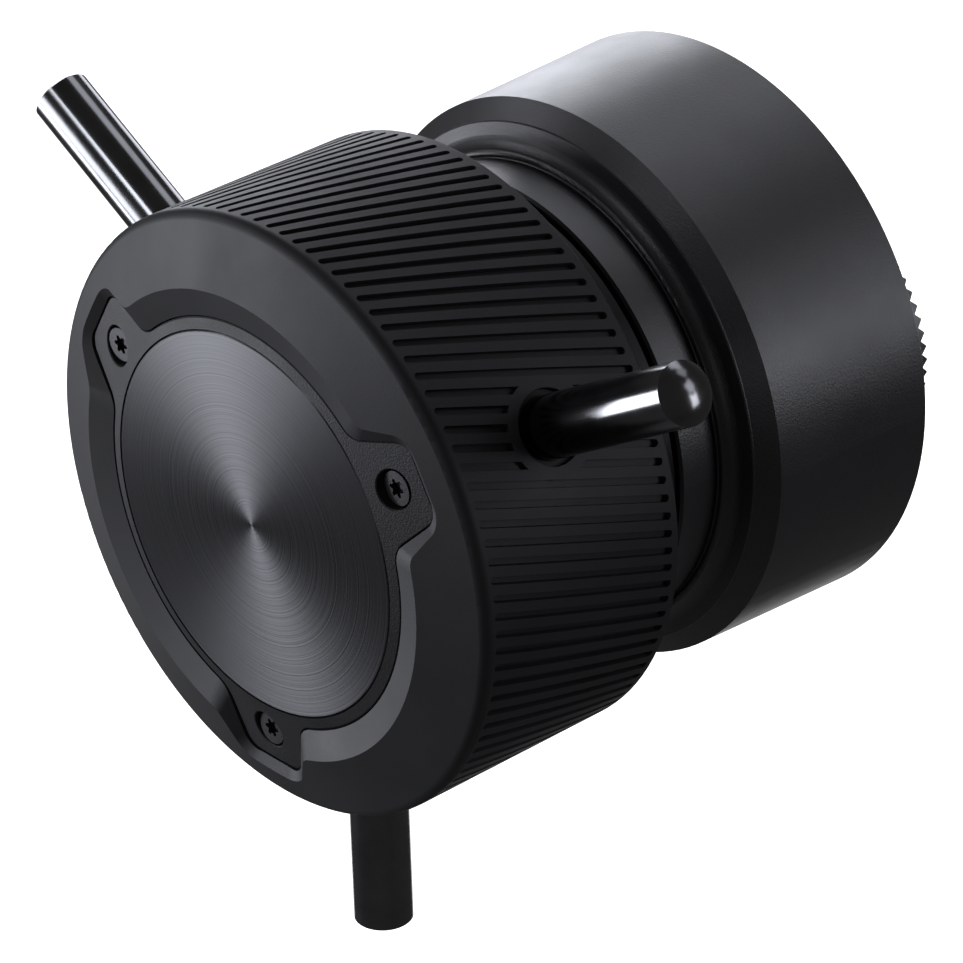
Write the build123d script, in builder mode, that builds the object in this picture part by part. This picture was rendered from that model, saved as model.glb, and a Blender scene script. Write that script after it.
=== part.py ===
from build123d import *
from math import cos, hypot, radians, sin, tan
import os

os.makedirs("parts", exist_ok=True)

# Lengths are in millimetres. The mount's thread opens at the origin and faces +Y.
# The wheel turns about an axis along Y, above the mount, and its face looks along -Y.

# Fits and cutting
overrun = 1.0
past_both = overrun + overrun
close_fit = 0.03
screw_room = 0.2
seam = 0.15
ball_room = 0.04
cover_room = 0.15

# Stations along the wheel axis
axis_rise = 8.3
tooth_stand = 1.1
rim_reach = 19.45
drum_side_length = 22.3
drum_chamfer_length = 1.95
neck_length = 7.45
wheel_gap = 0.5
collar_length = 7.1
wheel_side_length = 28.0
rod_setback = 14.0

drum_rear = tooth_stand - rim_reach
drum_shoulder = drum_rear - drum_side_length
flange_face = drum_shoulder - drum_chamfer_length
neck_front = flange_face - neck_length
collar_rear = neck_front - wheel_gap
wheel_rear = collar_rear - collar_length
bezel_corner = wheel_rear - wheel_side_length
rod_station = wheel_rear - rod_setback

# Angles round the wheel axis, from +X towards +Z
full_turn = 360
right_angle = 90
lobe_count = 3
rod_angles = {"right": 30, "left": 150, "bottom": 270}
lobe_angles = (30, 150, 270)
between_angles = (90, 210, 330)
quarter_angles = (45, 135, 225, 315)

# Screw sizes
small_shank = 1.0
small_head = 1.9
small_head_height = 1.2
small_socket = 0.85
medium_shank = 1.25
medium_head = 2.25
medium_head_height = 1.4
medium_socket = 1.1
large_shank = 1.5
large_head = 2.75
large_head_height = 1.7
large_socket = 1.4
socket_depth_share = 0.6

# Grip wheel
wheel_radius = 35.0
wheel_rear_chamfer = 0.4
wheel_front_round = 1.4
bezel_slope = 20
crown_radius = 26.4
shell_wall = 3.0
disc_stand = 2.25
trim_depth = 2.9
front_wall = 3.0
nut_opening = 9.0
rod_hole_radius = 4.2
hub_screw_circle = 20.5
trim_screw_circle = 26.2

disc_face = bezel_corner - disc_stand
pocket_floor = disc_face + trim_depth
wall_back = pocket_floor + front_wall
crown_face = bezel_corner - (wheel_radius - crown_radius) * tan(radians(bezel_slope))
shell_bore = wheel_radius - shell_wall

# Helical grip grooves
grooves_per_rod = 35
groove_length = 27.0
groove_width = 0.85
groove_depth = 0.65
helix_angle = 18.9
pad_radius = 5.5
groove_pitch = full_turn / (grooves_per_rod * lobe_count)
pad_reach_angle = 19

# Lobed pocket walls and trim plate
ramp_deep_stand = 0.35
ramp_deep_ring = 17.6
ramp_deep_end = 29.95
ramp_deep_root_half = 3.9
ramp_deep_end_half = 3.85
ramp_deep_corner = 1.9
ramp_deep_cove = 3.5
ramp_high_stand = 3.35
ramp_high_ring = 29.1
ramp_high_end = 35.7
ramp_high_root_half = 9.83
ramp_high_end_half = 7.69
ramp_high_corner = 3.5
ramp_high_cove = 1.5
plate_ring = 23.75
plate_end = 30.35
plate_root_half = 12.2
plate_end_half = 4.25
plate_corner = 2.0
plate_cove = 3.0
plate_slope = 12
plate_edge = 0.12
plate_inner = 22.4
trim_head_sink = 0.47
trim_counterbore = 2.25
trim_head = 1.95
trim_head_height = 1.0
trim_thread_length = 4.0
torx_core = 0.72
torx_lobe = 0.26
torx_lobe_circle = 0.82
torx_lobe_count = 6
torx_depth = 0.7
disc_radius = 22.25
disc_thickness = 1.2
disc_chamfer = 0.12

# Rods and their bushes
rod_radius = 3.45
rod_root = 11.5
rod_shoulder = 17.6
rod_reach = 23.05
rod_dome = 1.15
rod_thread = 2.5
bush_flange = 5.2
bush_flange_gap = 0.65
bush_flange_thickness = 1.15
bush_tube = 4.1
bush_sink = 0.9

rod_crease = wheel_radius + rod_reach
bush_out = wheel_radius - bush_sink
bush_flange_out = shell_bore - bush_flange_gap
bush_flange_in = bush_flange_out - bush_flange_thickness

# Hub and back plate
hub_bore = 6.0
hub_barrel = 17.5
hub_front_flange = 24.0
hub_front_thickness = 2.5
hub_rear_flange = 22.5
hub_rear_thickness = 2.5
back_recess = 0.3
back_thickness = 1.7
back_bore = 9.2
back_screw_circle = 19.6
back_screw_length = 3.6
collar_outer = 26.9
collar_inner = 24.4
hub_screw_length = 4.0
hub_head_sink = 1.6

back_face = wheel_rear - back_recess
hub_rear = back_face - back_thickness

# Spindle
spindle_thread = 5.0
spindle_end_room = 0.2
spindle_thread_length = 3.8
spindle_flange = 8.4
spindle_flange_length = 3.25
spindle_seat = 7.5
spindle_tail = 3.0
tail_length = 2.2
washer_radius = 7.2
washer_thickness = 0.5
nut_radius = 7.4
nut_height = 2.0
drive_pin_radius = 1.25
drive_pin_half = 16.8
drive_pin_setback = 4.85
circlip_radius = 8.6
circlip_groove = 6.9
circlip_thickness = 0.8
circlip_gap_half = 1.2
seat_tail_room = 0.6

# Ball bearings
bearing_outer = 12.0
bearing_width = 5.0
bearing_inner_wall = 1.5
bearing_outer_wall = 1.5
ball_circle = 9.75
ball_radius = 1.2
ball_count = 11
cage_half = 0.5
cage_half_width = 1.5
bearing_spread = 12.8

front_bearing_front = hub_rear + spindle_flange_length
front_bearing_rear = front_bearing_front + bearing_width
rear_bearing_front = front_bearing_rear + bearing_spread
rear_bearing_rear = rear_bearing_front + bearing_width
circlip_rear = rear_bearing_rear + circlip_thickness
seat_rear = circlip_rear + seat_tail_room
tail_rear = seat_rear + tail_length

# Drum housing
drum_rear_radius = 34.04
drum_front_radius = 33.3
flange_radius = 31.05
flange_step = 0.25
flange_round = 0.2
drum_bore = 30.4
drum_front_wall = 3.0
lip_width = 0.4
lip_height = 2.0
lip_round = 0.6
lip_skirt = 0.75
lip_skirt_height = 1.2
lip_cove = 2.4
wall_opening = 17.3
cover_radius = 31.25
cover_seat_depth = 3.0
post_circle = 27.6
post_radius = 2.9
post_hole_depth = 9.0
rim_chamfer = 0.3

wall_inside = flange_face + drum_front_wall
cover_inside = drum_rear - cover_seat_depth

# Neck sleeve
sleeve_front_reach = 0.4
sleeve_front_tube = 15.0
sleeve_pocket_outer = 24.6
sleeve_pocket_depth = 2.5
neck_radius = 27.5
neck_edge = 0.3
neck_base_radius = 27.55
lip_inner = neck_base_radius + seam
lip_outer = lip_inner + lip_width
lip_foot = lip_outer + lip_skirt
neck_base_height = 1.9
neck_base_edge = 0.2
neck_cove_depth = 0.3
neck_cove_length = 1.6
sleeve_bore = 10.5
sleeve_rear_tube = 17.0
neck_screw_circle = 21.0
neck_screw_length = 6.6
neck_hole_depth = 4.0

# Rear bearing clamp and angle sensor
spring_inner = 10.7
spring_outer = 11.8
spring_height = 0.8
retainer_radius = 17.0
retainer_bore = 9.6
retainer_thickness = 1.5
retainer_screw_circle = 14.6
retainer_screw_length = 5.0
standoff_circle = 12.0
standoff_radius = 2.1
standoff_length = 5.5
standoff_stud = 0.9
standoff_stud_length = 1.2
encoder_radius = 15.2
encoder_thickness = 1.2
encoder_screw_length = 3.4
chip_side = 5.0
chip_height = 1.0
magnet_radius = 3.0
magnet_thickness = 2.0
magnet_reach = 0.3
cup_radius = 5.0
cup_start = 0.3
magnet_room = 0.05

sleeve_rear = rear_bearing_rear + spring_height
retainer_rear = sleeve_rear + retainer_thickness
encoder_front = retainer_rear + standoff_length
encoder_rear = encoder_front + encoder_thickness
sleeve_front = front_bearing_front + sleeve_front_reach

# Main board and sockets
board_outer = 28.6
board_inner = 18.4
board_bottom = 9.5
board_thickness = 1.4
board_post_length = 6.2
board_post_radius = 2.2
board_notch = 3.4
board_screw_length = 4.4
board_posts = ((0.0, 24.0), (22.0, 12.6), (-22.0, 12.6))
processor_side = 7.0
processor_height = 1.0
processor_place = (8.5, 21.5)
socket_half_spacing = 9.0
socket_rise = 20.5
socket_width = 8.94
socket_height = 3.26
socket_wall = 0.3
both_walls = socket_wall + socket_wall
socket_floor = 1.5
tongue_width = 6.6
tongue_height = 0.7
tongue_setback = 0.6
socket_room = 0.2
cable_half_width = 3.5
cable_thickness = 0.3
cable_start = 10.2
cable_bend_near = 15.6
cable_bend_far = 17.4
cable_end = 21.0

board_rear = cover_inside - board_post_length
board_front = board_rear - board_thickness

# Rear cover
cover_recess = 0.4
cover_head = 2.3
cover_head_depth = 1.3
cover_screw_length = 7.0

cover_face = drum_rear - cover_recess
cover_edge = cover_radius + cover_room

# Rosette, its base and the mount thread
rosette_radius = 15.9
rosette_teeth = 60
tooth_inner = 10.0
tooth_land_share = 0.9
tooth_outrun = 16.6
rosette_thickness = 4.0
insert_radius = 4.2
insert_length = 14.0
insert_hole = 2.5
rosette_screw_circle = 7.2
rosette_head = 2.2
rosette_head_depth = 1.2
rosette_head_sink = 0.1
rosette_screw_length = 8.0
base_screw_circle = 11.2
base_screw_length = 9.0
base_edge = 0.4

section = Plane.XY.offset(axis_rise)
spin = Axis((0, 0, axis_rise), (0, 1, 0))
rod_line = Axis((0, rod_station, axis_rise), (1, 0, 0))


def front_plane(level, rise=axis_rise):
    return Plane(origin=(0, level, rise), x_dir=(1, 0, 0), z_dir=(0, -1, 0))


def turned(angle, rise=axis_rise):
    return Location((0, 0, rise), (0, -angle, 0)) * Location((0, 0, -rise))


def around(radius, angles):
    return [(radius * cos(radians(angle)), radius * sin(radians(angle))) for angle in angles]


def outline(*points, plane=section):
    with BuildSketch(plane) as drawn:
        Polygon(*points, align=None)
    return drawn.sketch


def rings(level, radius, spots=((0, 0),), rise=axis_rise):
    with BuildSketch(front_plane(level, rise)) as drawn:
        with Locations(*spots):
            Circle(radius)
    return drawn.sketch


def hexes(level, radius, spots=((0, 0),), rise=axis_rise):
    with BuildSketch(front_plane(level, rise)) as drawn:
        with Locations(*spots):
            RegularPolygon(radius, 6)
    return drawn.sketch


def slab(level, width, height, spots=((0, 0),)):
    with BuildSketch(front_plane(level)) as drawn:
        with Locations(*spots):
            Rectangle(width, height)
    return drawn.sketch


def lobed(level, ring, end, root_half, end_half, corner, cove):
    with BuildSketch(front_plane(level)) as drawn:
        Circle(ring)
        with PolarLocations(0, lobe_count, start_angle=lobe_angles[0]):
            Polygon((0, -root_half), (end, -end_half), (end, end_half), (0, root_half), align=None)
        middle = (ring + end) / 2
        fillet([v for v in drawn.vertices() if hypot(v.X, v.Y) > middle], corner)
        inner = [v for v in drawn.vertices() if hypot(v.X, v.Y) < ring + seam]
        fillet(inner, cove)
    return drawn.sketch


trim_spots = around(trim_screw_circle, lobe_angles)
hub_spots = around(hub_screw_circle, between_angles)
back_spots = around(back_screw_circle, between_angles)
post_spots = around(post_circle, quarter_angles)
neck_spots = around(neck_screw_circle, quarter_angles)
retainer_spots = around(retainer_screw_circle, between_angles)
standoff_spots = around(standoff_circle, lobe_angles)
rosette_spots = around(rosette_screw_circle, between_angles)
base_spots = around(base_screw_circle, quarter_angles)
socket_spots = {"left": (-socket_half_spacing, socket_rise), "right": (socket_half_spacing, socket_rise)}

# One slanted groove, its floor following the wheel's curve, and the plain pad round a rod hole
with BuildPart() as groove_tool:
    with BuildSketch(Plane((wheel_radius, rod_station, axis_rise), x_dir=(0, 1, 0), z_dir=(1, 0, 0))):
        SlotOverall(groove_length, groove_width, rotation=-helix_angle)
    extrude(amount=overrun, both=True)
    with Locations((0, rod_station, axis_rise)):
        Cylinder(wheel_radius - groove_depth, groove_length + overrun, rotation=(right_angle, 0, 0),
                 mode=Mode.SUBTRACT)

with BuildPart() as rod_pad:
    with BuildSketch(Plane((0, rod_station, axis_rise), x_dir=(0, 1, 0), z_dir=(1, 0, 0))):
        Circle(pad_radius)
    extrude(amount=wheel_radius + past_both)

grooves = []
for rod_angle in lobe_angles:
    for step in range(grooves_per_rod):
        offset = (step - grooves_per_rod // 2) * groove_pitch
        groove = turned(offset) * groove_tool.part
        if abs(offset) < pad_reach_angle:
            groove = groove - rod_pad.part
        grooves.append(turned(rod_angle) * groove)

# Pocket walls that ramp from the trim plate's edge up to the bezel
with BuildPart() as ramp_tool:
    add(
        loft(
            [
                lobed(bezel_corner - ramp_deep_stand, ramp_deep_ring, ramp_deep_end, ramp_deep_root_half,
                      ramp_deep_end_half, ramp_deep_corner, ramp_deep_cove).face(),
                lobed(bezel_corner - ramp_high_stand, ramp_high_ring, ramp_high_end, ramp_high_root_half,
                      ramp_high_end_half, ramp_high_corner, ramp_high_cove).face(),
            ],
            ruled=True,
            mode=Mode.PRIVATE,
        )
    )

with BuildSketch(section) as wheel_section:
    Polygon(
        (shell_bore, wheel_rear),
        (wheel_radius - wheel_rear_chamfer, wheel_rear),
        (wheel_radius, wheel_rear - wheel_rear_chamfer),
        (wheel_radius, bezel_corner),
        (crown_radius, crown_face),
        (nut_opening, crown_face),
        (nut_opening, wall_back),
        (shell_bore, wall_back),
        align=None,
    )
    fillet(wheel_section.vertices().sort_by_distance((wheel_radius, bezel_corner))[0], wheel_front_round)

with BuildPart() as grip_wheel:
    revolve(wheel_section.sketch, axis=spin)
    extrude(
        lobed(pocket_floor, plate_ring + seam, plate_end + seam, plate_root_half + seam,
              plate_end_half + seam, plate_corner + seam, plate_cove - seam),
        amount=pocket_floor - crown_face + overrun,
        mode=Mode.SUBTRACT,
    )
    add(ramp_tool.part, mode=Mode.SUBTRACT)
    extrude(rings(wall_back + overrun, medium_shank + close_fit, trim_spots),
            amount=front_wall + past_both, mode=Mode.SUBTRACT)
    extrude(rings(wall_back + overrun, medium_shank + screw_room, hub_spots),
            amount=front_wall + past_both, mode=Mode.SUBTRACT)
    extrude(rings(pocket_floor + hub_head_sink, medium_head + screw_room, hub_spots),
            amount=hub_head_sink + overrun, mode=Mode.SUBTRACT)
    for angle in lobe_angles:
        with BuildSketch(Plane((0, rod_station, axis_rise), x_dir=(0, 1, 0),
                               z_dir=(cos(radians(angle)), 0, sin(radians(angle))))):
            Circle(rod_hole_radius)
        extrude(amount=wheel_radius + overrun, mode=Mode.SUBTRACT)
    add(grooves, mode=Mode.SUBTRACT)
grip_wheel.part.label = "grip_wheel"
export_step(grip_wheel.part, "parts/grip_wheel.step")

plate_reach = plate_end + overrun

with BuildPart() as trim_plate:
    extrude(
        lobed(pocket_floor, plate_ring, plate_end, plate_root_half, plate_end_half, plate_corner, plate_cove),
        amount=trim_depth + overrun,
    )
    revolve(
        outline(
            (0, pocket_floor),
            (plate_reach, pocket_floor),
            (plate_reach, disc_face + (plate_reach - plate_inner) * tan(radians(plate_slope))),
            (plate_inner, disc_face),
            (0, disc_face),
        ),
        axis=spin,
        mode=Mode.INTERSECT,
    )
    extrude(rings(disc_face + disc_thickness, disc_radius + seam), amount=disc_thickness + overrun,
            mode=Mode.SUBTRACT)
    plate_top = disc_face + (trim_screw_circle - plate_inner) * tan(radians(plate_slope))
    trim_seat = plate_top + trim_head_sink + trim_head_height
    extrude(rings(trim_seat, trim_counterbore, trim_spots), amount=trim_depth, mode=Mode.SUBTRACT)
    plate_rims = trim_plate.faces().filter_by(GeomType.CONE).edges().filter_by(
        lambda edge: hypot(edge.center().X, edge.center().Z - axis_rise) > plate_ring - seam
    )
    chamfer(plate_rims, plate_edge)
    extrude(rings(pocket_floor + overrun, medium_shank + screw_room, trim_spots), amount=trim_depth + overrun,
            mode=Mode.SUBTRACT)
trim_plate.part.label = "trim_plate"
export_step(trim_plate.part, "parts/trim_plate.step")

with BuildPart() as centre_disc:
    extrude(rings(disc_face + disc_thickness, disc_radius), amount=disc_thickness)
    chamfer(centre_disc.faces().sort_by(Axis.Y)[0].edges(), disc_chamfer)
centre_disc.part.label = "centre_disc"
export_step(centre_disc.part, "parts/centre_disc.step")

with BuildPart() as trim_screws:
    extrude(rings(trim_seat, trim_head, trim_spots), amount=trim_head_height)
    extrude(rings(trim_seat, medium_shank, trim_spots), amount=-trim_thread_length)
    with BuildSketch(front_plane(trim_seat - trim_head_height)):
        with Locations(*trim_spots):
            Circle(torx_core)
            with PolarLocations(torx_lobe_circle, torx_lobe_count):
                Circle(torx_lobe)
    extrude(amount=-torx_depth, mode=Mode.SUBTRACT)
trim_screws.part.label = "trim_screws"
export_step(trim_screws.part, "parts/trim_screws.step")

with BuildSketch(section) as rod_half:
    with BuildLine():
        Polyline(
            (rod_crease + rod_dome, rod_station),
            (rod_root, rod_station),
            (rod_root, rod_station + rod_thread),
            (rod_shoulder, rod_station + rod_thread),
            (rod_shoulder, rod_station + rod_radius),
            (rod_crease, rod_station + rod_radius),
        )
        RadiusArc(
            (rod_crease, rod_station + rod_radius),
            (rod_crease + rod_dome, rod_station),
            (rod_radius**2 + rod_dome**2) / (2 * rod_dome),
        )
    make_face()

bush_half = outline(
    (bush_flange_in, rod_station + rod_radius + close_fit),
    (bush_flange_in, rod_station + bush_flange),
    (bush_flange_out, rod_station + bush_flange),
    (bush_flange_out, rod_station + bush_tube),
    (bush_out, rod_station + bush_tube),
    (bush_out, rod_station + rod_radius + close_fit),
)

for side, angle in rod_angles.items():
    with BuildPart() as rod:
        revolve(rod_half.sketch, axis=rod_line)
    rod.part = turned(angle) * rod.part
    rod.part.label = "rod_" + side
    export_step(rod.part, "parts/rod_" + side + ".step")

    with BuildPart() as bush:
        revolve(bush_half, axis=rod_line)
    bush.part = turned(angle) * bush.part
    bush.part.label = "rod_bush_" + side
    export_step(bush.part, "parts/rod_bush_" + side + ".step")

with BuildPart() as wheel_hub:
    revolve(
        outline(
            (hub_bore + close_fit, wall_back),
            (hub_front_flange, wall_back),
            (hub_front_flange, wall_back + hub_front_thickness),
            (hub_barrel, wall_back + hub_front_thickness),
            (hub_barrel, hub_rear - hub_rear_thickness),
            (hub_rear_flange, hub_rear - hub_rear_thickness),
            (hub_rear_flange, hub_rear),
            (hub_bore + close_fit, hub_rear),
        ),
        axis=spin,
    )
    extrude(rings(wall_back + hub_front_thickness + overrun, medium_shank + close_fit, hub_spots),
            amount=hub_front_thickness + past_both, mode=Mode.SUBTRACT)
    extrude(rings(hub_rear + overrun, medium_shank + close_fit, back_spots),
            amount=hub_rear_thickness + past_both, mode=Mode.SUBTRACT)
    for angle in lobe_angles:
        with BuildSketch(Plane((0, rod_station, axis_rise), x_dir=(0, 1, 0),
                               z_dir=(cos(radians(angle)), 0, sin(radians(angle))))):
            Circle(rod_thread + close_fit)
        extrude(amount=hub_barrel + overrun, mode=Mode.SUBTRACT)
    with BuildSketch(Plane((0, hub_rear - drive_pin_setback, axis_rise), x_dir=(0, 1, 0), z_dir=(1, 0, 0))):
        Circle(drive_pin_radius + close_fit)
    extrude(amount=hub_barrel + overrun, both=True, mode=Mode.SUBTRACT)
wheel_hub.part.label = "wheel_hub"
export_step(wheel_hub.part, "parts/wheel_hub.step")

with BuildPart() as hub_screws:
    extrude(rings(pocket_floor + hub_head_sink, medium_head, hub_spots), amount=medium_head_height)
    extrude(rings(pocket_floor + hub_head_sink, medium_shank, hub_spots), amount=-hub_screw_length)
    extrude(hexes(pocket_floor + hub_head_sink - medium_head_height, medium_socket, hub_spots),
            amount=-medium_head_height * socket_depth_share, mode=Mode.SUBTRACT)
hub_screws.part.label = "hub_screws"
export_step(hub_screws.part, "parts/hub_screws.step")

with BuildPart() as back_plate:
    revolve(
        outline(
            (back_bore, hub_rear),
            (shell_bore - close_fit, hub_rear),
            (shell_bore - close_fit, back_face),
            (collar_outer, back_face),
            (collar_outer, collar_rear),
            (collar_inner, collar_rear),
            (collar_inner, back_face),
            (back_bore, back_face),
        ),
        axis=spin,
    )
    extrude(rings(back_face + overrun, medium_shank + screw_room, back_spots),
            amount=back_thickness + past_both, mode=Mode.SUBTRACT)
back_plate.part.label = "back_plate"
export_step(back_plate.part, "parts/back_plate.step")

with BuildPart() as back_plate_screws:
    extrude(rings(back_face, medium_head, back_spots), amount=-medium_head_height)
    extrude(rings(back_face, medium_shank, back_spots), amount=back_screw_length)
    extrude(hexes(back_face + medium_head_height, medium_socket, back_spots),
            amount=medium_head_height * socket_depth_share, mode=Mode.SUBTRACT)
back_plate_screws.part.label = "back_plate_screws"
export_step(back_plate_screws.part, "parts/back_plate_screws.step")

spindle_end = pocket_floor + spindle_end_room

with BuildPart() as spindle:
    revolve(
        outline(
            (0, spindle_end),
            (spindle_thread, spindle_end),
            (spindle_thread, spindle_end + spindle_thread_length),
            (hub_bore, spindle_end + spindle_thread_length),
            (hub_bore, hub_rear),
            (spindle_flange, hub_rear),
            (spindle_flange, front_bearing_front),
            (spindle_seat, front_bearing_front),
            (spindle_seat, rear_bearing_rear),
            (circlip_groove, rear_bearing_rear),
            (circlip_groove, circlip_rear),
            (spindle_seat, circlip_rear),
            (spindle_seat, seat_rear),
            (spindle_tail, seat_rear),
            (spindle_tail, tail_rear),
            (0, tail_rear),
        ),
        axis=spin,
    )
    with BuildSketch(Plane((0, hub_rear - drive_pin_setback, axis_rise), x_dir=(0, 1, 0), z_dir=(1, 0, 0))):
        Circle(drive_pin_radius + close_fit)
    extrude(amount=hub_bore + overrun, both=True, mode=Mode.SUBTRACT)
spindle.part.label = "spindle"
export_step(spindle.part, "parts/spindle.step")

with BuildPart() as drive_pin:
    with BuildSketch(Plane((0, hub_rear - drive_pin_setback, axis_rise), x_dir=(0, 1, 0), z_dir=(1, 0, 0))):
        Circle(drive_pin_radius)
    extrude(amount=drive_pin_half, both=True)
drive_pin.part.label = "drive_pin"
export_step(drive_pin.part, "parts/drive_pin.step")

with BuildPart() as spindle_washer:
    extrude(rings(wall_back, washer_radius), amount=washer_thickness)
    extrude(rings(wall_back + overrun, hub_bore + close_fit), amount=washer_thickness + past_both,
            mode=Mode.SUBTRACT)
spindle_washer.part.label = "spindle_washer"
export_step(spindle_washer.part, "parts/spindle_washer.step")

with BuildPart() as spindle_nut:
    extrude(hexes(wall_back - washer_thickness, nut_radius), amount=nut_height)
    extrude(rings(wall_back, spindle_thread + close_fit), amount=washer_thickness + nut_height + overrun,
            mode=Mode.SUBTRACT)
spindle_nut.part.label = "spindle_nut"
export_step(spindle_nut.part, "parts/spindle_nut.step")

with BuildPart() as spindle_circlip:
    extrude(rings(circlip_rear, circlip_radius), amount=circlip_thickness)
    extrude(rings(circlip_rear + overrun, circlip_groove + close_fit),
            amount=circlip_thickness + past_both, mode=Mode.SUBTRACT)
    extrude(slab(circlip_rear + overrun, circlip_gap_half + circlip_gap_half, circlip_radius,
                 ((0, -circlip_radius),)),
            amount=circlip_thickness + past_both, mode=Mode.SUBTRACT)
spindle_circlip.part.label = "spindle_circlip"
export_step(spindle_circlip.part, "parts/spindle_circlip.step")

# Each bearing: an outer ring that stays, an inner ring on the spindle, and balls in a cage between them
race_radius = ball_radius + ball_room
inner_land = spindle_seat + close_fit + bearing_inner_wall
outer_land = bearing_outer - bearing_outer_wall

for place, start in (("front", front_bearing_front), ("rear", rear_bearing_front)):
    middle = start + bearing_width / 2

    with BuildSketch(section) as race:
        with Locations((ball_circle, middle)):
            Circle(race_radius)

    with BuildPart() as outer_ring:
        revolve(
            outline(
                (outer_land, start),
                (bearing_outer, start),
                (bearing_outer, start + bearing_width),
                (outer_land, start + bearing_width),
            ),
            axis=spin,
        )
        revolve(race.sketch, axis=spin, mode=Mode.SUBTRACT)
    outer_ring.part.label = place + "_bearing_outer"
    export_step(outer_ring.part, "parts/" + place + "_bearing_outer.step")

    with BuildPart() as inner_ring:
        revolve(
            outline(
                (spindle_seat + close_fit, start),
                (inner_land, start),
                (inner_land, start + bearing_width),
                (spindle_seat + close_fit, start + bearing_width),
            ),
            axis=spin,
        )
        revolve(race.sketch, axis=spin, mode=Mode.SUBTRACT)
    inner_ring.part.label = place + "_bearing_inner"
    export_step(inner_ring.part, "parts/" + place + "_bearing_inner.step")

    with BuildPart() as balls:
        with Locations(front_plane(middle)):
            with PolarLocations(ball_circle, ball_count):
                Sphere(ball_radius)
    balls.part.label = place + "_balls"
    export_step(balls.part, "parts/" + place + "_balls.step")

    with BuildPart() as cage:
        revolve(
            outline(
                (ball_circle - cage_half, middle - cage_half_width),
                (ball_circle + cage_half, middle - cage_half_width),
                (ball_circle + cage_half, middle + cage_half_width),
                (ball_circle - cage_half, middle + cage_half_width),
            ),
            axis=spin,
        )
        with Locations(front_plane(middle)):
            with PolarLocations(ball_circle, ball_count):
                Cylinder(race_radius, ball_radius + ball_radius, rotation=(0, right_angle, 0),
                         mode=Mode.SUBTRACT)
    cage.part.label = place + "_cage"
    export_step(cage.part, "parts/" + place + "_cage.step")

with BuildSketch(section) as drum_section:
    Polygon(
        (cover_edge, drum_rear),
        (drum_rear_radius - rim_chamfer, drum_rear),
        (drum_rear_radius, drum_rear - rim_chamfer),
        (drum_front_radius, drum_shoulder),
        (flange_radius, flange_face + flange_step),
        (flange_radius, flange_face),
        (lip_foot, flange_face - lip_height + lip_skirt_height),
        (lip_outer, flange_face - lip_height),
        (lip_inner, flange_face - lip_height),
        (lip_inner, flange_face),
        (wall_opening, flange_face),
        (wall_opening, wall_inside),
        (drum_bore, wall_inside),
        (drum_bore, cover_inside),
        (cover_edge, cover_inside),
        align=None,
    )
    fillet(drum_section.vertices().sort_by_distance((lip_outer, flange_face - lip_height))[0], lip_round)
    fillet(drum_section.vertices().sort_by_distance((flange_radius, flange_face))[0], flange_round)
    lip_foot_point = (lip_foot, flange_face - lip_height + lip_skirt_height)
    fillet(drum_section.vertices().sort_by_distance(lip_foot_point)[0], lip_cove)

with BuildPart() as drum_housing:
    revolve(drum_section.sketch, axis=spin)
    with BuildSketch(front_plane(cover_inside)):
        with Locations(*post_spots):
            Circle(post_radius)
        Circle(drum_bore + close_fit, mode=Mode.INTERSECT)
    extrude(amount=cover_inside - wall_inside)
    extrude(rings(cover_inside + overrun, medium_shank + close_fit, post_spots),
            amount=post_hole_depth + overrun, mode=Mode.SUBTRACT)
    extrude(rings(wall_inside + overrun, large_shank + screw_room, neck_spots),
            amount=drum_front_wall + past_both, mode=Mode.SUBTRACT)
drum_housing.part.label = "drum_housing"
export_step(drum_housing.part, "parts/drum_housing.step")

cove_start = flange_face - neck_base_height
cove_end = cove_start - neck_cove_length

with BuildSketch(section) as sleeve_section:
    with BuildLine():
        Polyline(
            (neck_radius - neck_cove_depth, cove_start),
            (neck_base_radius - neck_base_edge, cove_start),
            (neck_base_radius, cove_start + neck_base_edge),
            (neck_base_radius, flange_face),
            (sleeve_rear_tube, flange_face),
            (sleeve_rear_tube, sleeve_rear),
            (bearing_outer + close_fit, sleeve_rear),
            (bearing_outer + close_fit, rear_bearing_front),
            (sleeve_bore, rear_bearing_front),
            (sleeve_bore, front_bearing_rear),
            (bearing_outer + close_fit, front_bearing_rear),
            (bearing_outer + close_fit, sleeve_front),
            (sleeve_front_tube, sleeve_front),
            (sleeve_front_tube, neck_front + sleeve_pocket_depth),
            (sleeve_pocket_outer, neck_front + sleeve_pocket_depth),
            (sleeve_pocket_outer, neck_front),
            (neck_radius - neck_edge, neck_front),
            (neck_radius, neck_front + neck_edge),
            (neck_radius, cove_end),
        )
        TangentArc((neck_radius, cove_end), (neck_radius - neck_cove_depth, cove_start), tangent=(0, 1))
    make_face()

with BuildPart() as neck_sleeve:
    revolve(sleeve_section.sketch, axis=spin)
    extrude(rings(flange_face + overrun, large_shank + close_fit, neck_spots),
            amount=neck_hole_depth + overrun, mode=Mode.SUBTRACT)
    extrude(rings(sleeve_rear + overrun, small_shank + close_fit, retainer_spots),
            amount=retainer_screw_length + overrun, mode=Mode.SUBTRACT)
neck_sleeve.part.label = "neck_sleeve"
export_step(neck_sleeve.part, "parts/neck_sleeve.step")

with BuildPart() as neck_screws:
    extrude(rings(wall_inside, large_head, neck_spots), amount=-large_head_height)
    extrude(rings(wall_inside, large_shank, neck_spots), amount=neck_screw_length)
    extrude(hexes(wall_inside + large_head_height, large_socket, neck_spots),
            amount=large_head_height * socket_depth_share, mode=Mode.SUBTRACT)
neck_screws.part.label = "neck_screws"
export_step(neck_screws.part, "parts/neck_screws.step")

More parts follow.
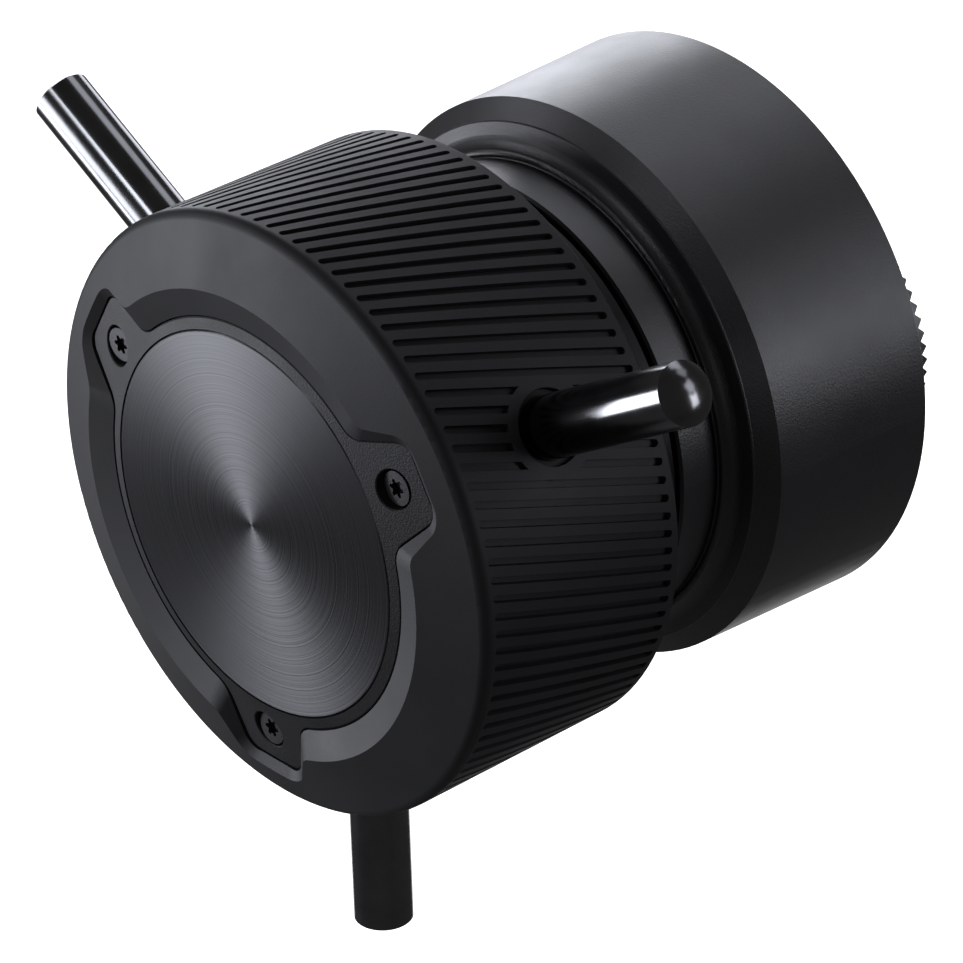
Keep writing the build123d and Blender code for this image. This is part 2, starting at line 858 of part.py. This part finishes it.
with BuildPart() as preload_spring:
    extrude(rings(sleeve_rear, spring_outer), amount=spring_height)
    extrude(rings(sleeve_rear + overrun, spring_inner), amount=spring_height + past_both,
            mode=Mode.SUBTRACT)
preload_spring.part.label = "preload_spring"
export_step(preload_spring.part, "parts/preload_spring.step")

with BuildPart() as bearing_retainer:
    extrude(rings(retainer_rear, retainer_radius), amount=retainer_thickness)
    extrude(rings(retainer_rear + overrun, retainer_bore), amount=retainer_thickness + past_both,
            mode=Mode.SUBTRACT)
    extrude(rings(retainer_rear + overrun, small_shank + screw_room, retainer_spots),
            amount=retainer_thickness + past_both, mode=Mode.SUBTRACT)
    extrude(rings(retainer_rear + overrun, standoff_stud + close_fit, standoff_spots),
            amount=standoff_stud_length + overrun, mode=Mode.SUBTRACT)
bearing_retainer.part.label = "bearing_retainer"
export_step(bearing_retainer.part, "parts/bearing_retainer.step")

with BuildPart() as retainer_screws:
    extrude(rings(retainer_rear, small_head, retainer_spots), amount=-small_head_height)
    extrude(rings(retainer_rear, small_shank, retainer_spots), amount=retainer_screw_length)
    extrude(hexes(retainer_rear + small_head_height, small_socket, retainer_spots),
            amount=small_head_height * socket_depth_share, mode=Mode.SUBTRACT)
retainer_screws.part.label = "retainer_screws"
export_step(retainer_screws.part, "parts/retainer_screws.step")

with BuildPart() as encoder_standoffs:
    extrude(hexes(encoder_front, standoff_radius, standoff_spots), amount=standoff_length)
    extrude(rings(retainer_rear, standoff_stud, standoff_spots), amount=standoff_stud_length)
    extrude(rings(encoder_front + overrun, small_shank + close_fit, standoff_spots),
            amount=encoder_screw_length + overrun, mode=Mode.SUBTRACT)
encoder_standoffs.part.label = "encoder_standoffs"
export_step(encoder_standoffs.part, "parts/encoder_standoffs.step")

with BuildPart() as encoder_board:
    extrude(rings(encoder_rear, encoder_radius), amount=encoder_thickness)
    extrude(rings(encoder_rear + overrun, small_shank + screw_room, standoff_spots),
            amount=encoder_thickness + past_both, mode=Mode.SUBTRACT)
encoder_board.part.label = "encoder_board"
export_step(encoder_board.part, "parts/encoder_board.step")

with BuildPart() as encoder_screws:
    extrude(rings(encoder_rear, small_head, standoff_spots), amount=-small_head_height)
    extrude(rings(encoder_rear, small_shank, standoff_spots), amount=encoder_screw_length)
    extrude(hexes(encoder_rear + small_head_height, small_socket, standoff_spots),
            amount=small_head_height * socket_depth_share, mode=Mode.SUBTRACT)
encoder_screws.part.label = "encoder_screws"
export_step(encoder_screws.part, "parts/encoder_screws.step")

with BuildPart() as sensor_chip:
    extrude(slab(encoder_front, chip_side, chip_side), amount=chip_height)
sensor_chip.part.label = "sensor_chip"
export_step(sensor_chip.part, "parts/sensor_chip.step")

cup_front = seat_rear + cup_start
magnet_front = tail_rear + magnet_room
magnet_rear = magnet_front + magnet_thickness
cup_rear = magnet_rear - magnet_reach

with BuildPart() as magnet_cup:
    extrude(rings(cup_rear, cup_radius), amount=cup_rear - cup_front)
    extrude(rings(cup_rear + overrun, spindle_tail + close_fit), amount=cup_rear - cup_front + past_both,
            mode=Mode.SUBTRACT)
magnet_cup.part.label = "magnet_cup"
export_step(magnet_cup.part, "parts/magnet_cup.step")

with BuildPart() as encoder_magnet:
    extrude(rings(magnet_rear, magnet_radius), amount=magnet_thickness)
encoder_magnet.part.label = "encoder_magnet"
export_step(encoder_magnet.part, "parts/encoder_magnet.step")

with BuildPart() as main_board:
    with BuildSketch(front_plane(board_rear)):
        Circle(board_outer)
        Circle(board_inner, mode=Mode.SUBTRACT)
        with Locations((0, board_bottom)):
            Rectangle(board_outer + board_outer, board_outer, align=(Align.CENTER, Align.MIN),
                      mode=Mode.INTERSECT)
        with Locations(*post_spots):
            Circle(board_notch, mode=Mode.SUBTRACT)
        with Locations(*board_posts):
            Circle(small_shank + screw_room, mode=Mode.SUBTRACT)
    extrude(amount=board_thickness)
main_board.part.label = "main_board"
export_step(main_board.part, "parts/main_board.step")

with BuildPart() as main_board_screws:
    extrude(rings(board_front, small_head, board_posts), amount=small_head_height)
    extrude(rings(board_front, small_shank, board_posts), amount=-board_screw_length)
    extrude(hexes(board_front - small_head_height, small_socket, board_posts),
            amount=-small_head_height * socket_depth_share, mode=Mode.SUBTRACT)
main_board_screws.part.label = "main_board_screws"
export_step(main_board_screws.part, "parts/main_board_screws.step")

with BuildPart() as processor_chip:
    extrude(slab(board_front, processor_side, processor_side, (processor_place,)), amount=processor_height)
processor_chip.part.label = "processor_chip"
export_step(processor_chip.part, "parts/processor_chip.step")

for side, spot in socket_spots.items():
    with BuildPart() as socket:
        with BuildSketch(front_plane(cover_face)):
            with Locations(spot):
                SlotOverall(socket_width, socket_height)
        extrude(amount=cover_face - board_rear)
        with BuildSketch(front_plane(cover_face)):
            with Locations(spot):
                SlotOverall(socket_width - both_walls, socket_height - both_walls)
        extrude(amount=cover_face - board_rear - socket_floor, mode=Mode.SUBTRACT)
    socket.part.label = "usb_socket_" + side
    export_step(socket.part, "parts/usb_socket_" + side + ".step")

    with BuildPart() as tongue:
        extrude(slab(cover_face - tongue_setback, tongue_width, tongue_height, (spot,)),
                amount=cover_face - tongue_setback - board_rear - socket_floor)
    tongue.part.label = "usb_tongue_" + side
    export_step(tongue.part, "parts/usb_tongue_" + side + ".step")

with BuildPart() as ribbon_cable:
    with BuildSketch(Plane.YZ.offset(-cable_half_width)):
        Polygon(
            (encoder_rear, axis_rise + cable_start),
            (encoder_rear, axis_rise + cable_bend_near),
            (board_rear, axis_rise + cable_bend_far),
            (board_rear, axis_rise + cable_end),
            (board_rear + cable_thickness, axis_rise + cable_end),
            (board_rear + cable_thickness, axis_rise + cable_bend_far + cable_thickness / 2),
            (encoder_rear + cable_thickness, axis_rise + cable_bend_near + cable_thickness / 2),
            (encoder_rear + cable_thickness, axis_rise + cable_start),
            align=None,
        )
    extrude(amount=cable_half_width + cable_half_width)
ribbon_cable.part.label = "ribbon_cable"
export_step(ribbon_cable.part, "parts/ribbon_cable.step")

with BuildPart() as rear_cover:
    extrude(rings(cover_face, cover_radius), amount=cover_face - cover_inside)
    extrude(rings(cover_inside, board_post_radius, board_posts), amount=board_post_length)
    extrude(rings(board_rear - overrun, small_shank + close_fit, board_posts),
            amount=-board_screw_length - overrun, mode=Mode.SUBTRACT)
    with BuildSketch(front_plane(cover_face + overrun)):
        with Locations(*socket_spots.values()):
            SlotOverall(socket_width + socket_room + socket_room, socket_height + socket_room + socket_room)
    extrude(amount=cover_face - cover_inside + past_both, mode=Mode.SUBTRACT)
    extrude(rings(cover_face + overrun, medium_shank + screw_room, post_spots),
            amount=cover_face - cover_inside + past_both, mode=Mode.SUBTRACT)
    extrude(rings(cover_face + overrun, cover_head + screw_room, post_spots),
            amount=cover_head_depth + overrun, mode=Mode.SUBTRACT)
    extrude(rings(cover_face + overrun, large_shank + screw_room, base_spots, 0),
            amount=cover_face - cover_inside + past_both, mode=Mode.SUBTRACT)
rear_cover.part.label = "rear_cover"
export_step(rear_cover.part, "parts/rear_cover.step")

with BuildPart() as cover_screws:
    extrude(rings(cover_face, cover_head, post_spots), amount=cover_head_depth)
    extrude(rings(cover_face, medium_shank, post_spots), amount=cover_screw_length)
    extrude(hexes(cover_face, medium_socket, post_spots), amount=cover_head_depth * socket_depth_share,
            mode=Mode.SUBTRACT)
cover_screws.part.label = "cover_screws"
export_step(cover_screws.part, "parts/cover_screws.step")

base_rear = -rosette_thickness

with BuildPart() as rosette_base:
    extrude(rings(base_rear, rosette_radius, rise=0), amount=base_rear - cover_face)
    chamfer(rosette_base.faces().sort_by(Axis.Y)[-1].edges(), base_edge)
    extrude(rings(overrun, insert_radius + close_fit, rise=0), amount=insert_length + overrun,
            mode=Mode.SUBTRACT)
    extrude(rings(overrun, medium_shank + close_fit, rosette_spots, 0), amount=rosette_screw_length + overrun,
            mode=Mode.SUBTRACT)
    extrude(rings(cover_face - overrun, large_shank + close_fit, base_spots, 0),
            amount=-base_screw_length - overrun, mode=Mode.SUBTRACT)
rosette_base.part.label = "rosette_base"
export_step(rosette_base.part, "parts/rosette_base.step")

with BuildPart() as base_screws:
    extrude(rings(cover_inside, large_head, base_spots, 0), amount=large_head_height)
    extrude(rings(cover_inside, large_shank, base_spots, 0), amount=-base_screw_length)
    extrude(hexes(cover_inside - large_head_height, large_socket, base_spots, 0),
            amount=-large_head_height * socket_depth_share, mode=Mode.SUBTRACT)
base_screws.part.label = "base_screws"
export_step(base_screws.part, "parts/base_screws.step")

# Radial V grooves whose ridge lines all point at the mount axis
tooth_half_angle = full_turn / rosette_teeth / 2
near_half = tooth_inner * tan(radians(tooth_half_angle)) * tooth_land_share
far_half = tooth_outrun * tan(radians(tooth_half_angle)) * tooth_land_share

with BuildPart() as tooth_tool:
    add(
        loft(
            [
                outline((tooth_stand, -near_half), (tooth_stand, near_half), (tooth_stand - near_half, 0),
                        plane=Plane.YZ.offset(tooth_inner - overrun * tooth_land_share)).face(),
                outline((tooth_stand, -far_half), (tooth_stand, far_half), (tooth_stand - far_half, 0),
                        plane=Plane.YZ.offset(tooth_outrun)).face(),
            ],
            ruled=True,
            mode=Mode.PRIVATE,
        )
    )

with BuildPart() as rosette_ring:
    extrude(rings(tooth_stand, rosette_radius, rise=0), amount=rosette_thickness + tooth_stand)
    extrude(rings(tooth_stand + overrun, tooth_inner, rise=0), amount=tooth_stand + overrun,
            mode=Mode.SUBTRACT)
    extrude(rings(tooth_stand + overrun, insert_radius + close_fit, rise=0),
            amount=rosette_thickness + tooth_stand + past_both, mode=Mode.SUBTRACT)
    extrude(rings(overrun, medium_shank + screw_room, rosette_spots, 0),
            amount=rosette_thickness + past_both, mode=Mode.SUBTRACT)
    extrude(rings(overrun, rosette_head + screw_room, rosette_spots, 0),
            amount=rosette_head_sink + rosette_head_depth + overrun, mode=Mode.SUBTRACT)
    add([turned(tooth * full_turn / rosette_teeth, 0) * tooth_tool.part for tooth in range(rosette_teeth)],
        mode=Mode.SUBTRACT)
rosette_ring.part.label = "rosette_ring"
export_step(rosette_ring.part, "parts/rosette_ring.step")

with BuildPart() as rosette_screws:
    extrude(rings(-rosette_head_sink, rosette_head, rosette_spots, 0), amount=rosette_head_depth)
    extrude(rings(-rosette_head_sink, medium_shank, rosette_spots, 0),
            amount=rosette_screw_length - rosette_head_sink)
    extrude(hexes(-rosette_head_sink, medium_socket, rosette_spots, 0),
            amount=rosette_head_depth * socket_depth_share, mode=Mode.SUBTRACT)
rosette_screws.part.label = "rosette_screws"
export_step(rosette_screws.part, "parts/rosette_screws.step")

with BuildPart() as thread_insert:
    extrude(rings(0, insert_radius, rise=0), amount=insert_length)
    extrude(rings(overrun, insert_hole, rise=0), amount=insert_length + past_both, mode=Mode.SUBTRACT)
thread_insert.part.label = "thread_insert"
export_step(thread_insert.part, "parts/thread_insert.step")
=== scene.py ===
import math

import bpy
from mathutils import Matrix, Vector

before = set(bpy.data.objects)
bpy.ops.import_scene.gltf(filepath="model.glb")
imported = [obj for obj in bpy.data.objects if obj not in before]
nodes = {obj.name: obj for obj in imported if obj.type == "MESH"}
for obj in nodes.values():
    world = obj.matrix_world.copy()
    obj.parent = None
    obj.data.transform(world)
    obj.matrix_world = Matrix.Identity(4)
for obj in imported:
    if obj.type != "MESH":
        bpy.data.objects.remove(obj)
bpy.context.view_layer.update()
scene = bpy.context.scene
scene.view_settings.view_transform = "Standard"

# Lengths are in metres
MM = 0.001
AXIS_RISE = 8.3 * MM

# Camera at the photograph's viewing angle
CAMERA_PLACE = (0.37865, -0.39118, 0.28509)
CAMERA_AZIMUTH = math.radians(48.37)
CAMERA_ELEVATION = math.radians(29.33)
CAMERA_ROLL = math.radians(-1.74)
CAMERA_ANGLE = math.radians(10.61)
CAMERA_REACH = 50

# Softboxes hang on a sphere round the middle of the part
LAMP_AIM = (0, -50 * MM, AXIS_RISE)
LAMP_DISTANCE = 1.0
LAMP_SPREAD = math.radians(80)
LAMP_TINT = (0.9, 0.92, 1.0)

# Name, azimuth from +X towards +Y, elevation, width, height and power
SOFTBOXES = (
    ("front_left_box", 218, -11, 0.3, 0.42, 1.2),
    ("front_strip", 234, 2, 0.34, 0.5, 0.9),
    ("low_left_box", 199, -17, 0.26, 0.31, 0.05),
    ("left_flank_box", 205, 27, 0.22, 0.22, 0.2),
    ("high_front_strip", 263, 40, 0.12, 0.2, 0.15),
    ("left_box", 149, 0, 0.35, 0.35, 0.33),
    ("left_high_box", 143, 18, 0.35, 0.3, 0.4),
    ("low_back_box", 113, 8, 0.3, 0.4, 0.25),
    ("back_left_box", 124, 42, 0.45, 0.45, 0.2),
    ("top_box", 95, 58, 0.5, 0.4, 0.24),
    ("top_right_box", 62, 48, 0.3, 0.3, 0.06),
    ("right_high_box", 41, 28, 0.35, 0.3, 0.14),
    ("right_back_strip", 36, 7, 0.3, 0.4, 0.37),
    ("front_right_box", 300, 10, 0.5, 0.5, 0.12),
)

# A spot that lights only the floor behind the part up to white
SPOT_PLACE = (-1.33, 1.13, 0.6)
SPOT_POWER = 220
SPOT_CONE = math.radians(60)
SPOT_BLEND = 0.2

SURROUND_STRENGTH = 0.07
FLOOR_HALF = 6.0
FLOOR_HEIGHT = -1.0
FLOOR_COLOUR = (0.85, 0.85, 0.85, 1)
FLOOR_ROUGHNESS = 0.9

# Noise values between these are spread over a material's range
NOISE_LOW, NOISE_HIGH = 0.3, 0.7


def material(name):
    mat = bpy.data.materials.new(name)
    mat.use_nodes = True
    tree = mat.node_tree
    return mat, tree.nodes, tree.links, tree.nodes["Principled BSDF"]


def noise(n, links, coords, scale, detail=4.0, rough=0.55):
    tex = n.new("ShaderNodeTexNoise")
    tex.inputs["Scale"].default_value = scale
    tex.inputs["Detail"].default_value = detail
    tex.inputs["Roughness"].default_value = rough
    links.new(coords, tex.inputs["Vector"])
    return tex.outputs["Fac"]


def lathe_lines(n, links, coords, per_metre, detail):
    """Uneven concentric lines about the wheel axis."""
    shift = n.new("ShaderNodeMapping")
    shift.inputs["Location"].default_value = (0, 0, -AXIS_RISE)
    shift.inputs["Scale"].default_value = (1, 0, 1)
    links.new(coords, shift.inputs["Vector"])
    radius = n.new("ShaderNodeVectorMath")
    radius.operation = "LENGTH"
    links.new(shift.outputs["Vector"], radius.inputs[0])
    tex = n.new("ShaderNodeTexNoise")
    tex.noise_dimensions = "1D"
    tex.inputs["Scale"].default_value = per_metre
    tex.inputs["Detail"].default_value = detail
    links.new(radius.outputs["Value"], tex.inputs["W"])
    return tex.outputs["Fac"]


def spread(n, links, value, low, high):
    remap = n.new("ShaderNodeMapRange")
    remap.inputs["From Min"].default_value = NOISE_LOW
    remap.inputs["From Max"].default_value = NOISE_HIGH
    remap.inputs["To Min"].default_value = low
    remap.inputs["To Max"].default_value = high
    links.new(value, remap.inputs["Value"])
    return remap.outputs["Result"]


def tint(n, links, value, dark, light):
    ramp = n.new("ShaderNodeValToRGB")
    ramp.color_ramp.elements[0].position = NOISE_LOW
    ramp.color_ramp.elements[0].color = (*dark, 1)
    ramp.color_ramp.elements[1].position = NOISE_HIGH
    ramp.color_ramp.elements[1].color = (*light, 1)
    links.new(value, ramp.inputs["Fac"])
    return ramp.outputs["Color"]


def bump(n, links, bsdf, height, strength, distance):
    node = n.new("ShaderNodeBump")
    node.inputs["Strength"].default_value = strength
    node.inputs["Distance"].default_value = distance
    links.new(height, node.inputs["Height"])
    links.new(node.outputs["Normal"], bsdf.inputs["Normal"])


def coated(name, dark, light, rough, grain, grain_depth, metallic=0.0, specular=0.5, cloud=90.0):
    """A blasted or moulded surface: mottled colour, uneven gloss and a fine grain."""
    mat, n, links, bsdf = material(name)
    place = n.new("ShaderNodeTexCoord").outputs["Object"]
    broad = noise(n, links, place, cloud)
    fine = noise(n, links, place, grain, 3.0, 0.6)
    links.new(tint(n, links, broad, dark, light), bsdf.inputs["Base Color"])
    links.new(spread(n, links, broad, *rough), bsdf.inputs["Roughness"])
    bsdf.inputs["Metallic"].default_value = metallic
    bsdf.inputs["Specular IOR Level"].default_value = specular
    bump(n, links, bsdf, fine, 1.0, grain_depth)
    return mat


def turned_metal(name, dark, light, rough):
    """Machined metal with lathe lines about the wheel axis."""
    mat, n, links, bsdf = material(name)
    place = n.new("ShaderNodeTexCoord").outputs["Object"]
    lines = lathe_lines(n, links, place, 2500.0, 3.0)
    broad = noise(n, links, place, 140.0)
    links.new(tint(n, links, broad, dark, light), bsdf.inputs["Base Color"])
    links.new(spread(n, links, lines, *rough), bsdf.inputs["Roughness"])
    bsdf.inputs["Metallic"].default_value = 1.0
    bump(n, links, bsdf, lines, 0.5, 0.00001)
    return mat


def spun_disc(name):
    """A lathe-spun disc: fine concentric lines whose gloss fans out along the radius."""
    mat, n, links, bsdf = material(name)
    place = n.new("ShaderNodeTexCoord").outputs["Object"]
    lines = lathe_lines(n, links, place, 5200.0, 4.0)
    shade = tint(n, links, lines, (0.041, 0.0413, 0.043), (0.064, 0.0646, 0.0671))
    links.new(shade, bsdf.inputs["Base Color"])
    links.new(spread(n, links, lines, 0.30, 0.40), bsdf.inputs["Roughness"])
    bsdf.inputs["Metallic"].default_value = 1.0
    bsdf.inputs["Anisotropic"].default_value = 0.76
    bsdf.inputs["Anisotropic Rotation"].default_value = 0.25
    around = n.new("ShaderNodeTangent")
    around.direction_type = "RADIAL"
    around.axis = "Y"
    links.new(around.outputs["Tangent"], bsdf.inputs["Tangent"])
    bump(n, links, bsdf, lines, 0.2, 0.000006)
    return mat


def polished(name, dark, light, rough):
    """Mirror-polished plating with faint handling marks."""
    mat, n, links, bsdf = material(name)
    place = n.new("ShaderNodeTexCoord").outputs["Object"]
    marks = noise(n, links, place, 260.0, 6.0, 0.65)
    links.new(tint(n, links, marks, dark, light), bsdf.inputs["Base Color"])
    links.new(spread(n, links, marks, *rough), bsdf.inputs["Roughness"])
    bsdf.inputs["Metallic"].default_value = 1.0
    return mat


charcoal = coated("satin_charcoal", (0.0105, 0.0107, 0.0113), (0.013, 0.0132, 0.014), (0.52, 0.60), 5200.0,
                  0.000012, specular=0.26)
leathery = coated("grained_charcoal", (0.0105, 0.0107, 0.0113), (0.013, 0.0132, 0.014), (0.33, 0.40), 4000.0,
                  0.00003, specular=0.5)
black_satin = coated("black_satin", (0.006, 0.006, 0.0063), (0.008, 0.008, 0.0084), (0.34, 0.44), 4200.0,
                     0.00001, specular=0.12)
blasted = coated("blasted_trim", (0.0105, 0.0107, 0.0113), (0.0145, 0.0147, 0.0155), (0.42, 0.52), 4600.0,
                 0.00005, specular=0.15)
soft_black = coated("moulded_black", (0.004, 0.004, 0.004), (0.007, 0.007, 0.007), (0.5, 0.65), 2400.0,
                    0.00002, specular=0.2)
board_green = coated("board_green", (0.012, 0.08, 0.035), (0.016, 0.11, 0.05), (0.3, 0.4), 900.0, 0.00003)
amber_film = coated("amber_film", (0.40, 0.18, 0.03), (0.5, 0.24, 0.05), (0.25, 0.35), 700.0, 0.00002)
rosette_metal = coated("rosette_metal", (0.05, 0.05, 0.053), (0.07, 0.07, 0.074), (0.3, 0.4), 2600.0, 0.00002,
                       metallic=0.6)
dark_screw = coated("blackened_screw", (0.02, 0.02, 0.021), (0.035, 0.035, 0.037), (0.25, 0.36), 2200.0,
                    0.00001, metallic=0.7)
disc_metal = spun_disc("spun_disc")
dark_chrome = polished("dark_chrome", (0.125, 0.125, 0.129), (0.155, 0.155, 0.16), (0.15, 0.19))
steel = turned_metal("turned_steel", (0.42, 0.42, 0.43), (0.55, 0.55, 0.56), (0.22, 0.32))
aluminium = turned_metal("turned_aluminium", (0.6, 0.6, 0.61), (0.72, 0.72, 0.73), (0.28, 0.38))
brass = turned_metal("turned_brass", (0.55, 0.38, 0.14), (0.68, 0.5, 0.2), (0.25, 0.35))

looks = {
    "grip_wheel": charcoal, "drum_housing": leathery, "trim_plate": blasted, "centre_disc": disc_metal,
    "trim_screws": dark_screw, "back_plate": black_satin, "neck_sleeve": leathery, "rear_cover": black_satin,
    "rosette_base": black_satin, "rosette_ring": rosette_metal, "cover_screws": dark_screw,
    "rod_right": dark_chrome, "rod_left": dark_chrome, "rod_bottom": dark_chrome,
    "rod_bush_right": soft_black, "rod_bush_left": soft_black, "rod_bush_bottom": soft_black,
    "encoder_board": board_green, "main_board": board_green, "sensor_chip": soft_black,
    "processor_chip": soft_black, "usb_tongue_left": soft_black, "usb_tongue_right": soft_black,
    "ribbon_cable": amber_film, "front_cage": brass, "rear_cage": brass, "encoder_standoffs": brass,
    "wheel_hub": aluminium, "bearing_retainer": aluminium, "magnet_cup": aluminium,
}
for name, obj in nodes.items():
    obj.data.materials.clear()
    obj.data.materials.append(looks.get(name, steel))

level = math.cos(CAMERA_ELEVATION)
back = Vector((math.sin(CAMERA_AZIMUTH) * level, -math.cos(CAMERA_AZIMUTH) * level,
               math.sin(CAMERA_ELEVATION)))
right = Vector((math.cos(CAMERA_AZIMUTH), math.sin(CAMERA_AZIMUTH), 0))
up = back.cross(right)
right_rolled = right * math.cos(CAMERA_ROLL) + up * math.sin(CAMERA_ROLL)
up_rolled = up * math.cos(CAMERA_ROLL) - right * math.sin(CAMERA_ROLL)
camera_data = bpy.data.cameras.new("camera")
camera_data.angle = CAMERA_ANGLE
camera_data.clip_end = CAMERA_REACH
camera = bpy.data.objects.new("camera", camera_data)
scene.collection.objects.link(camera)
turn = Matrix((right_rolled, up_rolled, back)).transposed().to_4x4()
camera.matrix_world = Matrix.Translation(CAMERA_PLACE) @ turn
scene.camera = camera


def softbox(name, azimuth, elevation, width, height, power):
    data = bpy.data.lights.new(name, "AREA")
    data.shape = "RECTANGLE"
    data.size = width
    data.size_y = height
    data.spread = LAMP_SPREAD
    data.energy = power
    data.color = LAMP_TINT
    lamp = bpy.data.objects.new(name, data)
    scene.collection.objects.link(lamp)
    a, e = math.radians(azimuth), math.radians(elevation)
    aim = Vector((math.cos(a) * math.cos(e), math.sin(a) * math.cos(e), math.sin(e)))
    lamp.location = Vector(LAMP_AIM) + aim * LAMP_DISTANCE
    lamp.rotation_euler = aim.to_track_quat("Z", "Y").to_euler()
    lamp.visible_camera = False


for box in SOFTBOXES:
    softbox(*box)

spot = bpy.data.lights.new("backdrop_spot", "SPOT")
spot.energy = SPOT_POWER
spot.spot_size = SPOT_CONE
spot.spot_blend = SPOT_BLEND
spot.shadow_soft_size = 0
backdrop_spot = bpy.data.objects.new("backdrop_spot", spot)
backdrop_spot.location = SPOT_PLACE
scene.collection.objects.link(backdrop_spot)

# A dim, even surround
world = bpy.data.worlds.new("surround")
scene.world = world
world.use_nodes = True
surround = world.node_tree.nodes["Background"]
surround.inputs["Color"].default_value = (1, 1, 1, 1)
surround.inputs["Strength"].default_value = SURROUND_STRENGTH

# Pale floor well below the part, which hangs from its mount
floor_mesh = bpy.data.meshes.new("floor")
signs = ((-1, -1), (1, -1), (1, 1), (-1, 1))
corners = [(x * FLOOR_HALF, y * FLOOR_HALF, FLOOR_HEIGHT) for x, y in signs]
floor_mesh.from_pydata(corners, [], [(0, 1, 2, 3)])
floor = bpy.data.objects.new("floor", floor_mesh)
scene.collection.objects.link(floor)
floor_mat, _, _, floor_bsdf = material("pale_floor")
floor_bsdf.inputs["Base Color"].default_value = FLOOR_COLOUR
floor_bsdf.inputs["Roughness"].default_value = FLOOR_ROUGHNESS
floor_mesh.materials.append(floor_mat)
